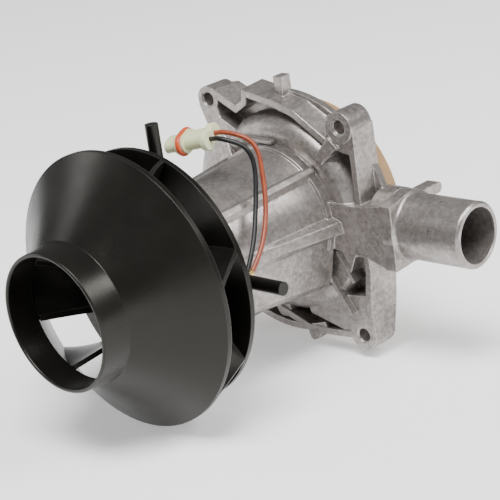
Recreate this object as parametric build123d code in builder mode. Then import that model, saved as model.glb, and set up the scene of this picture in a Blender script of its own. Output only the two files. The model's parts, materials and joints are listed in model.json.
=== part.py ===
from build123d import *

# Combustion fan of a diesel air heater.
#
# A black heating-air impeller sits on the front end of a brushed motor. The motor lies in the barrel of a
# die-cast housing. A blower wheel on the rear end of the same shaft pushes combustion air, drawn in through
# the side stub, round a side channel between the housing and a moulded cover.
#
# Millimetres. Origin: the motor axis where it crosses the rear mounting plane. -Y: towards the impeller's
# inlet. +X: along the air stub. +Z: up.

import os
from math import cos, pi, radians, sin, tan

os.makedirs("parts", exist_ok=True)

# ---- Driving dimensions ----------------------------------------------------------------------------------

SHAFT_R = 2.5
THREAD_R = 2.0
FIT = 0.05                # radial clearance of a running fit

# Impeller
BLADES = 7
COLLAR_FRONT_Y, COLLAR_FRONT_R = -129.3, 25.8
COLLAR_BASE_Y, COLLAR_BASE_R = -118.2, 26.7
SHROUD_RIM_Y, SHROUD_RIM_R = -97.0, 52.3
SHROUD_T = 1.5
SHROUD_SAG = 0.9          # how far the cone's wall bows in between collar and rim
DISC_REAR_Y, DISC_R, DISC_T = -79.3, 48.45, 2.0
DISC_FRONT_Y = DISC_REAR_Y - DISC_T
BLADE_T = 1.7
BLADE_ROOT_R, BLADE_EYE_R = 12.0, 25.6          # where the leading edge meets the disc and the shroud
DISC_CURVE = [(BLADE_ROOT_R, 98.0), (38.9, 22.8), (53.0, 17.6)]     # a blade's radius and angle on the disc
COLLAR_CURVE = [(20.0, 56.0), (38.9, 16.8), (53.0, -2.4)]           # and at the collar's base
WELD = 0.3                # how deep the blades are welded into the shroud
HUB_R, HUB_FRONT_R, HUB_FRONT_Y = 9.0, 8.0, -91.5
INSERT_R = 4.5

# Motor
BARREL_FRONT_Y, BARREL_FRONT_R = -66.0, 23.8
BARREL_BASE_Y, BARREL_BASE_R = -16.4, 28.5
BARREL_BORE_R = 21.2
BARREL_FLOOR_Y = -19.0
CORE_R, CORE_FRONT_Y, CORE_REAR_Y = 15.0, -50.0, -26.0
SLOTS = 12
MAGNET_IN_R, MAGNET_OUT_R, MAGNET_SPAN = 15.6, 19.4, 130
COMMUTATOR_R, COMMUTATOR_FRONT_Y, COMMUTATOR_REAR_Y = 7.0, -65.4, -56.4
BRUSH_Y = -61.4
CAP_FRONT_Y, CAP_R = -74.0, 23.4
PIN_Y, PIN_R, PIN_TIP_R, PINS = -70.3, 2.5, 54.6, 4

# Bearings, of the 625 size
BEARING_R, BEARING_W = 8.0, 5.0
BALL_R, BALL_PITCH_R, BALLS = 1.5, 5.25, 7
FRONT_BEARING_Y, REAR_BEARING_Y = -69.6, -11.5

# Housing casting
FLANGE_FRONT_Y = -11.4
BODY_R, BULGE_R, COLLAR_R = 48.5, 40.6, 29.6
SKIRT_T = 2.6
WEB_FRONT_Y = -3.0
LUG_HOLE_R, LUG_R, LUG_A_R, LUG_PAD_T = 2.75, 6.2, 5.3, 0.5
LUG_A, LUG_B, LUG_C, LUG_D = (-31.2, 44.5), (35.8, 38.9), (35.8, -44.9), (-31.2, -45.0)
STUB_Y, STUB_R, STUB_BORE_R, STUB_END_X = -1.2, 12.5, 10.45, 87.3
STUB_FILLET = 1.2
PLATE_X, PLATE_T, PLATE_FRONT_Y = 58.6, 5.2, -14.4
DUCT_FRONT_Y, DUCT_REAR_Y = -13.8, -0.6
HUMP_X, HUMP_DEPTH_R, HUMP_HEIGHT_R = 45.6, 12.5, 14.0

# Side-channel blower
CHAMBER_R, CHAMBER_DEPTH = 34.5, 5.0
CHANNEL_PITCH_R, CHANNEL_R = 29.5, 4.8
WHEEL_R, WHEEL_HALF_W, VANES = 34.0, 4.5, 36
COVER_R, COVER_REAR_Y, REGISTER_DEPTH = 41.3, 13.5, 0.4     # the cover sits in a shallow register
COVER_SCREW_PITCH_R, COVER_SCREWS, COVER_SCREW_DEPTH = 38.0, 4, 7.0

# Leads and connector
LEAD_R = 0.9
PLUG_DIR = Vector(-0.95, -0.264, -0.185).normalized()   # from the leads' end towards the mating end
PLUG_WIDE = Vector(0.302, -0.926, -0.227)               # across the plug, from the red lead to the black
PLUG_REAR = Vector(6.3, -47.3, 43.7)
LEAD_GAP = 4.4
FERRULE_R, FERRULE_L = 1.35, 2.5
BLOCK_REAR_Y = -66.8
RED_END, BLACK_END = (33.8, 0.6), (31.1, -0.8)


# ---- Helpers ---------------------------------------------------------------------------------------------

def across(y):
    """The plane across the motor axis at y. Its x is +X, its y is +Z, and it extrudes forwards, to -Y."""
    return Plane.XZ.offset(-y)


def polar(radius, angle):
    """A point on such a plane, at an angle in degrees from +X towards +Z."""
    return (radius * cos(radians(angle)), radius * sin(radians(angle)))


def turn(points, mode=Mode.ADD):
    """Turn a closed outline of (radius, y) points about the motor axis."""
    with BuildSketch(Plane.XY) as outline:
        with BuildLine():
            Polyline(*points, close=True)
        make_face()
    revolve(outline.sketch, axis=Axis.Y, mode=mode)


def ring(outer, inner, front, rear, mode=Mode.ADD):
    """A plain ring about the motor axis."""
    turn([(inner, front), (outer, front), (outer, rear), (inner, rear)], mode)


def slab(points, front, rear, mode=Mode.ADD):
    """A flat block with an outline of (x, z) points, from rear to front."""
    with BuildSketch(across(rear)) as outline:
        with BuildLine():
            Polyline(*points, close=True)
        make_face()
    extrude(outline.sketch, amount=rear - front, mode=mode)


def wall(start, end, width, front, rear):
    """A straight wall of one width between two (x, z) points, from rear to front."""
    along = (Vector(*end) - Vector(*start)).normalized()
    side = Vector(-along.Y, along.X) * (width / 2)
    corners = [Vector(*start) + side, Vector(*end) + side, Vector(*end) - side, Vector(*start) - side]
    slab([(corner.X, corner.Y) for corner in corners], front, rear)


def boss(centre, radius, front, rear, mode=Mode.ADD):
    """A round boss or hole along the motor axis, centred on an (x, z) point."""
    with BuildSketch(across(rear)) as disc:
        with Locations(centre):
            Circle(radius)
    extrude(disc.sketch, amount=rear - front, mode=mode)


# ---- Impeller --------------------------------------------------------------------------------------------

CONE_RISE = (SHROUD_RIM_Y - COLLAR_BASE_Y) / (SHROUD_RIM_R - COLLAR_BASE_R)
CONE_WALL = SHROUD_T * (1 + CONE_RISE**2) ** 0.5        # the wall's thickness measured along the axis
CONE_MID_R = (SHROUD_RIM_R + COLLAR_BASE_R) / 2
CONE_MID_Y = (SHROUD_RIM_Y + COLLAR_BASE_Y) / 2 + SHROUD_SAG


def cone_line(back):
    """Three (radius, y) points of the cone's front surface, moved back along the axis."""
    return [
        (COLLAR_BASE_R, COLLAR_BASE_Y + back),
        (CONE_MID_R, CONE_MID_Y + back),
        (SHROUD_RIM_R, SHROUD_RIM_Y + back),
    ]


with BuildPart() as impeller_shroud:
    with BuildSketch(Plane.XY):
        with BuildLine():
            front = ThreePointArc(*cone_line(0))
            back = ThreePointArc(*cone_line(CONE_WALL))
            Line(front @ 1, back @ 1)
            Polyline(
                front @ 0,
                (COLLAR_FRONT_R, COLLAR_FRONT_Y),
                (COLLAR_FRONT_R - SHROUD_T, COLLAR_FRONT_Y),
                (COLLAR_BASE_R - SHROUD_T, COLLAR_BASE_Y + CONE_WALL / 2),
                back @ 0,
            )
        make_face()
    revolve(axis=Axis.Y)
    collar_ends = impeller_shroud.edges().filter_by(GeomType.CIRCLE).group_by(Axis.Y)[0]
    fillet(collar_ends, SHROUD_T * 0.4)
impeller_shroud.part.label = "impeller_shroud"
export_step(impeller_shroud.part, "parts/impeller_shroud.step")


# One blade: nearly straight on the disc and curved at the shroud. Its leading edge slopes from beside the hub
# out to the shroud's eye.
def blade_section(y, curve):
    points = [Vector(*polar(r, angle)) for r, angle in curve]
    chord = (points[-1] - points[0]).normalized()
    thickness = Vector(-chord.Y, chord.X) * BLADE_T
    with BuildSketch(across(y)) as section:
        with BuildLine():
            first = ThreePointArc(*points)
            second = ThreePointArc(*[point + thickness for point in points])
            Line(first @ 0, second @ 0)
            Line(first @ 1, second @ 1)
        make_face()
    return section.sketch


with BuildPart() as blade:
    loft([blade_section(DISC_FRONT_Y, DISC_CURVE), blade_section(COLLAR_BASE_Y, COLLAR_CURVE)])
    with BuildSketch(Plane.XY):
        with BuildLine():
            roof = ThreePointArc(*cone_line(CONE_WALL - WELD))
            Polyline(
                roof @ 0,
                (BLADE_EYE_R, COLLAR_BASE_Y + CONE_WALL),
                (BLADE_ROOT_R, DISC_FRONT_Y),
                (DISC_R, DISC_FRONT_Y),
                roof @ 1,
            )
        make_face()
    revolve(axis=Axis.Y, mode=Mode.INTERSECT)

with BuildPart() as impeller_wheel:
    ring(DISC_R, INSERT_R, DISC_FRONT_Y, DISC_REAR_Y)
    turn([
        (INSERT_R, HUB_FRONT_Y),
        (HUB_FRONT_R, HUB_FRONT_Y),
        (HUB_R, DISC_FRONT_Y),
        (INSERT_R, DISC_FRONT_Y),
    ])
    for number in range(BLADES):
        add(blade.part.rotate(Axis.Y, number * 360 / BLADES))
impeller_wheel.part.label = "impeller_wheel"
export_step(impeller_wheel.part, "parts/impeller_wheel.step")

with BuildPart() as impeller_hub_insert:
    ring(INSERT_R, SHAFT_R, HUB_FRONT_Y, DISC_REAR_Y)
impeller_hub_insert.part.label = "impeller_hub_insert"
export_step(impeller_hub_insert.part, "parts/impeller_hub_insert.step")

WASHER_T, NUT_T, NUT_WIDTH, THREAD_END = 0.8, 3.2, 7.0, 1.5
WASHER_FRONT_Y = HUB_FRONT_Y - WASHER_T
NUT_FRONT_Y = WASHER_FRONT_Y - NUT_T
SHAFT_FRONT_Y = NUT_FRONT_Y - THREAD_END

with BuildPart() as impeller_washer:
    ring(INSERT_R, THREAD_R + FIT, WASHER_FRONT_Y, HUB_FRONT_Y)
impeller_washer.part.label = "impeller_washer"
export_step(impeller_washer.part, "parts/impeller_washer.step")

with BuildPart() as impeller_nut:
    with BuildSketch(across(WASHER_FRONT_Y)):
        RegularPolygon(NUT_WIDTH / 2, 6, major_radius=False)
        Circle(THREAD_R + FIT, mode=Mode.SUBTRACT)
    extrude(amount=NUT_T)
impeller_nut.part.label = "impeller_nut"
export_step(impeller_nut.part, "parts/impeller_nut.step")


# ---- Shaft, armature and commutator ----------------------------------------------------------------------

SHAFT_REAR_Y = WHEEL_HALF_W + 2.2
SHAFT_CHAMFER = 0.4

with BuildPart() as motor_shaft:
    turn([
        (0, SHAFT_FRONT_Y),
        (THREAD_R - SHAFT_CHAMFER, SHAFT_FRONT_Y),
        (THREAD_R, SHAFT_FRONT_Y + SHAFT_CHAMFER),
        (THREAD_R, HUB_FRONT_Y),
        (SHAFT_R, HUB_FRONT_Y),
        (SHAFT_R, SHAFT_REAR_Y - SHAFT_CHAMFER),
        (SHAFT_R - SHAFT_CHAMFER, SHAFT_REAR_Y),
        (0, SHAFT_REAR_Y),
    ])
motor_shaft.part.label = "motor_shaft"
export_step(motor_shaft.part, "parts/motor_shaft.step")

SLOT_MOUTH, SLOT_W, SLOT_IN_R, SLOT_OUT_R = 1.6, 3.0, 7.5, 13.4


def slot_sketch(plane, margin, with_mouth):
    """The armature's slots, made smaller all round by a margin."""
    with BuildSketch(plane) as slots:
        with PolarLocations((SLOT_IN_R + SLOT_OUT_R) / 2, SLOTS):
            Rectangle(SLOT_OUT_R - SLOT_IN_R - 2 * margin, SLOT_W - 2 * margin)
        if with_mouth:
            with PolarLocations((SLOT_OUT_R + CORE_R) / 2, SLOTS):
                Rectangle(CORE_R - SLOT_OUT_R + 1.0, SLOT_MOUTH)
    return slots.sketch


with BuildPart() as armature_core:
    ring(CORE_R, SHAFT_R, CORE_FRONT_Y, CORE_REAR_Y)
    extrude(slot_sketch(across(CORE_REAR_Y), 0, True), amount=CORE_REAR_Y - CORE_FRONT_Y, mode=Mode.SUBTRACT)
armature_core.part.label = "armature_core"
export_step(armature_core.part, "parts/armature_core.step")

END_TURN_W, END_TURN_GAP = 4.4, 0.3

with BuildPart() as armature_windings:
    extrude(slot_sketch(across(CORE_REAR_Y + 1), 0.2, False), amount=CORE_REAR_Y - CORE_FRONT_Y + 2)
    ring(SLOT_OUT_R, SLOT_IN_R, CORE_FRONT_Y - END_TURN_GAP - END_TURN_W, CORE_FRONT_Y - END_TURN_GAP)
    ring(SLOT_OUT_R, SLOT_IN_R, CORE_REAR_Y + END_TURN_GAP, CORE_REAR_Y + END_TURN_GAP + END_TURN_W)
armature_windings.part.label = "armature_windings"
export_step(armature_windings.part, "parts/armature_windings.step")

SLEEVE_R = 4.6
BAR_GAP = 0.5

with BuildPart() as commutator_sleeve:
    ring(SLEEVE_R, SHAFT_R, COMMUTATOR_FRONT_Y, COMMUTATOR_REAR_Y)
commutator_sleeve.part.label = "commutator_sleeve"
export_step(commutator_sleeve.part, "parts/commutator_sleeve.step")

with BuildPart() as commutator_bars:
    ring(COMMUTATOR_R, SLEEVE_R, COMMUTATOR_FRONT_Y, COMMUTATOR_REAR_Y)
    with BuildSketch(across(COMMUTATOR_REAR_Y)):
        with PolarLocations(COMMUTATOR_R, SLOTS, start_angle=180 / SLOTS):
            Rectangle(COMMUTATOR_R, BAR_GAP)
    extrude(amount=COMMUTATOR_REAR_Y - COMMUTATOR_FRONT_Y, mode=Mode.SUBTRACT)
commutator_bars.part.label = "commutator_bars"
export_step(commutator_bars.part, "parts/commutator_bars.step")


# ---- Ball bearings ---------------------------------------------------------------------------------------

INNER_RACE_R, OUTER_RACE_R, GROOVE_GAP = 4.3, 6.2, 0.1
CAGE_IN_R, CAGE_OUT_R, CAGE_RIM, CAGE_GRIP = 4.75, 5.75, 0.6, 1.0


def race(outer, inner, y):
    """A bearing ring with its ball groove, centred at y."""
    ring(outer, inner, y - BEARING_W / 2, y + BEARING_W / 2)
    with BuildSketch(Plane.XY) as groove:
        with Locations((BALL_PITCH_R, y)):
            Circle(BALL_R + GROOVE_GAP)
    revolve(groove.sketch, axis=Axis.Y, mode=Mode.SUBTRACT)


for place, bearing_y in (("front", FRONT_BEARING_Y), ("rear", REAR_BEARING_Y)):
    with BuildPart() as inner_ring:
        race(INNER_RACE_R, SHAFT_R, bearing_y)
    inner_ring.part.label = f"{place}_bearing_inner_ring"
    export_step(inner_ring.part, f"parts/{place}_bearing_inner_ring.step")

    with BuildPart() as outer_ring:
        race(BEARING_R, OUTER_RACE_R, bearing_y)
    outer_ring.part.label = f"{place}_bearing_outer_ring"
    export_step(outer_ring.part, f"parts/{place}_bearing_outer_ring.step")

    with BuildPart(across(bearing_y)) as ball_set:
        with PolarLocations(BALL_PITCH_R, BALLS):
            Sphere(BALL_R)
    ball_set.part.label = f"{place}_bearing_balls"
    export_step(ball_set.part, f"parts/{place}_bearing_balls.step")

    # Crown cage: a rim behind the balls, with fingers reaching between them
    rim_front = bearing_y + BALL_R + GROOVE_GAP
    with BuildPart() as cage:
        ring(CAGE_OUT_R, CAGE_IN_R, rim_front, rim_front + CAGE_RIM)
        with BuildSketch(across(rim_front)):
            Circle(CAGE_OUT_R)
            Circle(CAGE_IN_R, mode=Mode.SUBTRACT)
            with PolarLocations(BALL_PITCH_R, BALLS):
                Circle(BALL_R + GROOVE_GAP, mode=Mode.SUBTRACT)
        extrude(amount=rim_front - bearing_y + CAGE_GRIP)
    cage.part.label = f"{place}_bearing_cage"
    export_step(cage.part, f"parts/{place}_bearing_cage.step")


# ---- Blower wheel ----------------------------------------------------------------------------------------

WHEEL_HUB_R, WHEEL_WEB_HALF, VANE_ROOT_R, VANE_T = 7.0, 1.4, 24.5, 1.2
VANE_RING_T = 1.5
CLIP_R, CLIP_T = 4.4, 0.8

with BuildPart() as blower_wheel:
    ring(WHEEL_HUB_R, SHAFT_R, -WHEEL_HALF_W, WHEEL_HALF_W)
    ring(WHEEL_R, WHEEL_HUB_R, -WHEEL_WEB_HALF, WHEEL_WEB_HALF)
    ring(VANE_ROOT_R, VANE_ROOT_R - VANE_RING_T, -WHEEL_HALF_W, WHEEL_HALF_W)
    with BuildSketch(across(WHEEL_HALF_W)):
        with PolarLocations((VANE_ROOT_R + WHEEL_R) / 2 - 0.2, VANES):
            Rectangle(WHEEL_R - VANE_ROOT_R, VANE_T)
    extrude(amount=2 * WHEEL_HALF_W)
blower_wheel.part.label = "blower_wheel"
export_step(blower_wheel.part, "parts/blower_wheel.step")

with BuildPart() as blower_wheel_clip:
    ring(CLIP_R, SHAFT_R, WHEEL_HALF_W, WHEEL_HALF_W + CLIP_T)
    with BuildSketch(across(WHEEL_HALF_W + CLIP_T)):
        with Locations((0, CLIP_R)):
            Rectangle(2.0, 2 * (CLIP_R - SHAFT_R) + 1)
    extrude(amount=CLIP_T, mode=Mode.SUBTRACT)
blower_wheel_clip.part.label = "blower_wheel_clip"
export_step(blower_wheel_clip.part, "parts/blower_wheel_clip.step")


# ---- Housing casting -------------------------------------------------------------------------------------

# The skirt's outline, (x, z) on its front edge and (x, z) on the rear plane, clockwise from lug A.
SKIRT = [
    ((-36.5, 42.0), (-37.0, 42.5)),
    ((-33.0, 49.2), (-34.5, 48.0)),
    ((-28.0, 48.6), (-24.0, 49.5)),
    ((-16.8, 43.0), (-20.0, 47.6)),
    ((-12.9, 45.4), (-15.6, 49.0)),
    ((-12.0, 50.0), (-11.1, 51.2)),
    ((2.9, 46.9), (4.2, 48.2)),
    ((13.6, 43.4), (14.6, 45.7)),
    ((28.6, 33.6), (29.5, 37.0)),
    ((42.2, 38.0), (42.8, 39.0)),
    ((42.2, 10.0), (43.4, 10.0)),
    ((42.8, -10.6), (44.0, -10.6)),
    ((43.1, -18.6), (46.0, -20.5)),
    ((41.6, -30.0), (44.8, -31.0)),
    ((41.2, -45.5), (42.0, -46.5)),
    ((30.5, -47.0), (30.5, -47.5)),
    ((18.0, -47.9), (18.0, -48.4)),
    ((8.0, -47.9), (8.0, -48.1)),
    ((-8.0, -42.0), (-8.0, -42.0)),
    ((-30.0, -10.0), (-30.0, -10.0)),
    ((-33.0, 33.0), (-33.0, 33.0)),
]

# Filled blocks inside the skirt, each an (x, z) outline and the y of its front
BLOCKS = [
    # Behind lugs A, D, B and C
    ([(-36.5, 43.5), (-33.4, 34.0), (-25.0, 36.0), (-27.0, 43.0)], FLANGE_FRONT_Y),
    ([(-37.4, -42.5), (-39.0, -26.0), (-20.0, -34.0), (-28.5, -50.0)], FLANGE_FRONT_Y + 2),
    ([(28.6, 35.0), (33.0, 44.0), (38.4, 44.5), (42.2, 39.6), (42.2, 28.0), (32.0, 30.0)], FLANGE_FRONT_Y),
    ([(42.0, -44.0), (35.4, -51.0), (29.4, -47.0), (31.0, -40.0), (41.6, -36.0)], FLANGE_FRONT_Y),
    # Left of the left pocket, and the web from the barrel to lug B
    ([(-29.0, 37.4), (-26.4, 38.2), (-15.2, 32.0), (-12.0, 26.0), (-22.0, 24.0)], -12.0),
    ([(20.0, 22.0), (22.4, 25.8), (31.0, 35.0), (35.0, 31.0), (28.3, 26.4), (25.5, 22.9)], -13.0),
]
SHELF = [
    (7.0, -34.0), (26.0, -30.0), (41.0, -28.0), (41.0, -46.0), (30.0, -46.4), (26.0, -44.9), (9.0, -40.4),
]
SHELF_FRONT_Y = -10.6
LEFT_POCKET = [(-29.0, 37.6), (-17.0, 33.4), (-13.5, 40.5), (-17.2, 39.2), (-26.0, 44.0)]
DUCT_POCKET = [(24.0, -9.0), (40.4, -9.0), (40.4, -18.5), (36.5, -25.5), (29.0, -28.5), (22.0, -24.0)]
DUCT_POCKET_DEEP = [(36.0, -12.6), (40.4, -12.6), (40.4, -18.5), (36.5, -25.5), (33.0, -27.0), (32.0, -22.0)]
POCKET_FRONT_Y, POCKET_FLOOR_Y, SHALLOW_FLOOR_Y = -17.0, -4.5, -11.3

# Thin walls, each from and to an (x, z) point, with its width, front y and rear y
WALLS = [
    ((-15.6, 31.4), (3.0, 30.6), 1.4, -14.6, -6.0),
    ((23.5, -21.5), (32.6, -36.0), 1.4, -13.6, 0.0),
    ((27.6, -11.0), (34.6, -23.0), 1.2, -12.4, -4.0),
]
FOOT, FOOT_R, FOOT_FRONT_Y = (-6.0, -41.0), 3.6, -10.5       # small round boss at the bottom
TAB = [(1.2, 44.0), (1.2, 54.8), (5.2, 54.8), (5.2, 44.0)]
TAB_FRONT_Y, TAB_REAR_Y = -6.6, -1.4
TOOTH = [(5.8, -46.0), (7.4, -51.4), (9.0, -52.0), (11.4, -51.0), (14.5, -46.0)]
TOOTH_FRONT_Y, TOOTH_REAR_Y = -11.0, -3.0

# The plain body on the left, and the low wall round the bottom, as (radius, y) outlines and angles
BODY = [(20, 0), (BODY_R, 0), (BODY_R, -5), (45.5, -8.4), (40.5, -11.8), (COLLAR_R, -15.4), (20, -15.4)]
BODY_START, BODY_ARC = 236, 108
LOW_WALL = [(BODY_R - SKIRT_T, 0), (BODY_R, 0), (BODY_R, -10.8), (BODY_R - SKIRT_T, -10.8)]
LOW_WALL_START, LOW_WALL_ARC = -70, 56
BULGE_EDGE_Y = -4.0
BULGE_ARC = [(39.2, -10.2), (34.6, -13.2)]
BULGE_VALLEY = [(31.8, -12.9), (COLLAR_R, -12.0)]

PLATE_FRONT_X = PLATE_X - PLATE_T
DUCT = [(24.0, -8.8), (45.0, -11.0), (PLATE_FRONT_X, -13.9), (PLATE_FRONT_X, 10.8), (40.4, 9.1), (24.0, 9.6)]
PLATE = [(PLATE_FRONT_Y, -14.0), (PLATE_FRONT_Y, 11.2), (-6.0, 13.0), (8.0, 11.6), (8.0, -8.0), (-2.0, -13.4)]
TONGUE_L, TONGUE_T, TONGUE_MIDDLE = 22.0, 4.2, (6.0, 9.7)
STUB_EDGE = 0.8
PLATE_RING = 0.6          # how far the end plate reaches past the stub
PASSAGE = [(28.0, -6.5), (50.0, -6.5), (50.0, 6.5), (28.0, 6.5)]
PASSAGE_FRONT_Y, PASSAGE_REAR_Y = -10.5, -2.0
SHAFT_HOLE_R, SEAL_SEAT_R, SEAL_SEAT_Y, SEAL_T = 3.4, 5.0, -8.0, 2.4
LUG_STEP, LUG_STEP_DEPTH = 0.5, 0.4          # shallow counterbore at each lug hole

# Barrel
BARREL_CORNER = [(26.0, -8.0), (28.7, -10.0), (30.3, -31.0), (33.8, -44.0), (31.5, -62.0), (26.0, -75.0)]
BARREL_BOSS_R = 4.4
BARREL_RIDGE_ANGLES = (44.5, 136.0)
BARREL_BOSS_ANGLES = (-60.0, -150.0)
RIDGE_W, RIDGE_H, RIDGE_SLOPE = 7.4, 2.6, 60
WEDGE_FRONT_Y, WEDGE_FRONT_R, WEDGE_FRONT_H = -58.0, BARREL_FRONT_R + 0.6, 0.3
WEDGE_BASE_H = 5.8
BARREL_ROOT = 3.0         # how far the barrel runs on into the flange
BARREL_TAPER = (BARREL_BASE_R - BARREL_FRONT_R) / (BARREL_BASE_Y - BARREL_FRONT_Y)
CAP_SCREW_DEPTH, CAP_SCREW_L = 9.0, 10.0
SCREW_R, SCREW_CLEARANCE, HEAD_CLEARANCE = 1.5, 0.1, 0.3
HEAD_T, HEAD_GROWTH, SOCKET_DEPTH = 1.8, 1.9, 1.0       # screw heads, radius relative to the shank
EAR_PITCH_R, EAR_R, EAR_FRONT_Y = BARREL_FRONT_R, 3.9, -69.0


def closed(points, plane):
    """A sketch of one closed outline."""
    with BuildSketch(plane) as sketch:
        with BuildLine():
            Polyline(*points, close=True)
        make_face()
    return sketch.sketch


def barrel_section(y, radius):
    """The barrel's outline at y: a circle with two ridges, a squared corner and two screw bosses."""
    scale = radius / BARREL_BASE_R
    with BuildSketch(across(y)) as section:
        Circle(radius)
        for angle in BARREL_RIDGE_ANGLES:
            with Locations(Location((*polar(radius, angle), 0), angle)):
                with Locations((RIDGE_H * scale / 2 - 1, 0)):
                    Trapezoid(RIDGE_W, RIDGE_H * scale + 2, RIDGE_SLOPE, rotation=-90)
        for angle in BARREL_BOSS_ANGLES:
            with Locations(polar(radius, angle)):
                Circle(BARREL_BOSS_R * scale)
        with BuildLine():
            Polyline(*[polar(r * scale, angle) for r, angle in BARREL_CORNER], close=True)
        make_face()
    return section.sketch


def wedge_section(y, radius, height):
    """The wedge rib's outline at y: a gentle upper face up to its shoulder, a crest and a lower flank."""
    outline = [
        (radius - 2, 9.0),
        (radius, 8.0),
        (radius + 0.83 * height, 4.1),
        (radius + height, -3.2),
        (radius, -10.0),
        (radius - 2, -11.0),
    ]
    return closed([polar(r, angle) for r, angle in outline], across(y))


def sector(points, start, arc):
    """Turn a closed (radius, y) outline through part of a circle, clockwise from the start angle."""
    radial = Vector(cos(radians(start)), 0, sin(radians(start)))
    plane = Plane((0, 0, 0), x_dir=radial, z_dir=radial.cross(Vector(0, 1, 0)))
    revolve(closed(points, plane), axis=Axis.Y, revolution_arc=arc)


with BuildPart() as blower_housing:
    # Skirt block, hollowed from the front so that a wall is left round it
    loft([
        closed([front for front, rear in SKIRT], across(FLANGE_FRONT_Y)),
        closed([rear for front, rear in SKIRT], across(0)),
    ], ruled=True)
    with BuildSketch(across(WEB_FRONT_Y)) as pocket:
        add(closed([front for front, rear in SKIRT], across(WEB_FRONT_Y)))
        offset(amount=-SKIRT_T, kind=Kind.INTERSECTION)
    extrude(pocket.sketch, amount=WEB_FRONT_Y - FLANGE_FRONT_Y + 1, mode=Mode.SUBTRACT)

    # Back web and the rolled bulge over the side channel
    ring(BODY_R, 0, WEB_FRONT_Y, 0)
    with BuildSketch(Plane.XY) as bulge:
        with BuildLine():
            Line((0, 0), (BULGE_R, 0))
            Line((BULGE_R, 0), (BULGE_R, BULGE_EDGE_Y))
            ThreePointArc((BULGE_R, BULGE_EDGE_Y), *BULGE_ARC)
            ThreePointArc(BULGE_ARC[-1], *BULGE_VALLEY)
            Polyline(BULGE_VALLEY[-1], (COLLAR_R, BARREL_BASE_Y), (0, BARREL_BASE_Y), (0, 0))
        make_face()
    revolve(bulge.sketch, axis=Axis.Y)

    # Shelf at the lower right, and the pockets
    slab(SHELF, SHELF_FRONT_Y, 0)
    slab(DUCT_POCKET, POCKET_FRONT_Y, SHALLOW_FLOOR_Y, Mode.SUBTRACT)
    slab(DUCT_POCKET_DEEP, POCKET_FRONT_Y, POCKET_FLOOR_Y, Mode.SUBTRACT)
    slab(LEFT_POCKET, POCKET_FRONT_Y, POCKET_FLOOR_Y, Mode.SUBTRACT)

    # Plain full-depth body on the left, and the low wall round the bottom
    sector(BODY, BODY_START, BODY_ARC)
    sector(LOW_WALL, LOW_WALL_START, LOW_WALL_ARC)

    # Motor barrel and its wedge rib
    loft([
        barrel_section(BARREL_FRONT_Y, BARREL_FRONT_R),
        barrel_section(BARREL_BASE_Y + BARREL_ROOT, BARREL_BASE_R + BARREL_ROOT * BARREL_TAPER),
    ], ruled=True)
    loft([
        wedge_section(WEDGE_FRONT_Y, WEDGE_FRONT_R, WEDGE_FRONT_H),
        wedge_section(DUCT_FRONT_Y, BARREL_BASE_R, WEDGE_BASE_H),
    ], ruled=True)

    # Mounting lugs, blocks, walls and small features
    boss(LUG_A, LUG_A_R, FLANGE_FRONT_Y, 0)
    boss(LUG_B, LUG_R, FLANGE_FRONT_Y - LUG_PAD_T, 0)
    boss(LUG_C, LUG_R, FLANGE_FRONT_Y, 0)
    boss(LUG_D, LUG_R, FLANGE_FRONT_Y, 0)
    for outline, front_y in BLOCKS:
        slab(outline, front_y, 0)
    for start, end, width, front_y, rear_y in WALLS:
        wall(start, end, width, front_y, rear_y)
    boss(FOOT, FOOT_R, FOOT_FRONT_Y, 0)
    slab(TAB, TAB_FRONT_Y, TAB_REAR_Y)
    slab(TOOTH, TOOTH_FRONT_Y, TOOTH_REAR_Y)

    # Air duct with the stub's round end in its roof, and its end plate with the long tongue
    slab(DUCT, DUCT_FRONT_Y, DUCT_REAR_Y)
    with BuildSketch(Plane.YZ.offset(HUMP_X)) as hump:
        with Locations((STUB_Y, 0)):
            Ellipse(HUMP_DEPTH_R, HUMP_HEIGHT_R)
    extrude(hump.sketch, amount=PLATE_FRONT_X - HUMP_X)
    with BuildSketch(Plane.YZ.offset(PLATE_FRONT_X)) as plate:
        with BuildLine():
            Polyline(*PLATE, close=True)
        make_face()
        with Locations((STUB_Y, 0)):
            Circle(STUB_R + PLATE_RING)
        with Locations(TONGUE_MIDDLE):
            SlotOverall(TONGUE_L, TONGUE_T)
    extrude(plate.sketch, amount=PLATE_T)

    # Stub tube, with a small fillet at the plate and a bevelled end
    top = STUB_Y + STUB_R
    with BuildSketch(Plane.XY) as stub:
        with BuildLine():
            Line((PLATE_FRONT_X, STUB_Y), (PLATE_FRONT_X, top + STUB_FILLET))
            Line((PLATE_FRONT_X, top + STUB_FILLET), (PLATE_X, top + STUB_FILLET))
            RadiusArc((PLATE_X, top + STUB_FILLET), (PLATE_X + STUB_FILLET, top), -STUB_FILLET)
            Polyline(
                (PLATE_X + STUB_FILLET, top),
                (STUB_END_X - STUB_EDGE, top),
                (STUB_END_X, top - STUB_EDGE),
                (STUB_END_X, STUB_Y),
                (PLATE_FRONT_X, STUB_Y),
            )
        make_face()
    revolve(stub.sketch, axis=Axis((0, STUB_Y, 0), (1, 0, 0)))

    # Air passage from the stub's bore to the side channel
    with BuildSketch(Plane.YZ.offset(STUB_END_X)) as bore:
        with Locations((STUB_Y, 0)):
            Circle(STUB_BORE_R)
    extrude(bore.sketch, amount=PASSAGE[1][0] - STUB_END_X, mode=Mode.SUBTRACT)
    slab(PASSAGE, PASSAGE_FRONT_Y, PASSAGE_REAR_Y, Mode.SUBTRACT)

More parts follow.
